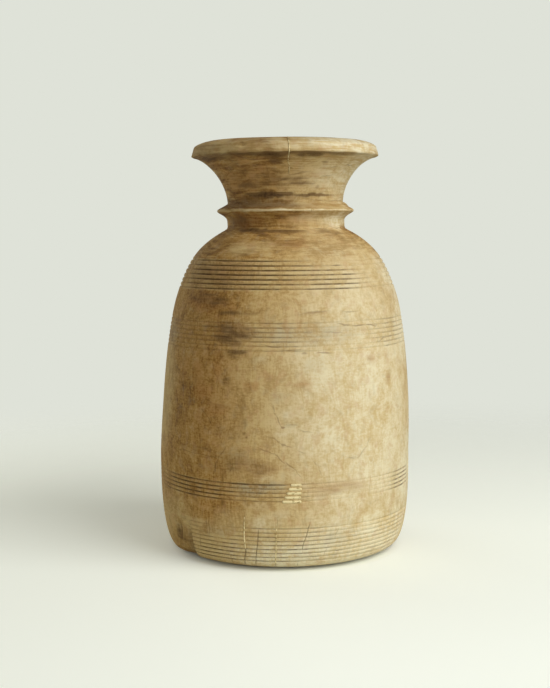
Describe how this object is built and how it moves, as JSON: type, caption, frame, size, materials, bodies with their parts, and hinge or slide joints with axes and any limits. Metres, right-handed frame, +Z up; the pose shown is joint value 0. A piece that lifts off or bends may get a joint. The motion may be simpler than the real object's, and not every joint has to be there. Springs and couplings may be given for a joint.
{
  "type": "turned wooden pot",
  "caption": "Old turned wooden storage pot with a tall belly, bands of cut grooves, a collared neck, a flared thick rim and filled drying cracks.",
  "frame": {"origin": "middle of the foot, on the surface that the pot stands on", "axes": "+Z up along the turning axis, -Y towards the side that the picture shows, +X to the right of that view"},
  "size_m": [0.256, 0.256, 0.4143],
  "materials": {
    "old_turned_wood": "matte",
    "pale_filler": "matte"
  },
  "bodies": {
    "root": {"turned_body": "old_turned_wood", "rim_crack_fill": "pale_filler", "left_foot_crack_fill": "pale_filler", "right_foot_crack_fill": "pale_filler", "groove_fill": "pale_filler"}
  },
  "joints": []
}
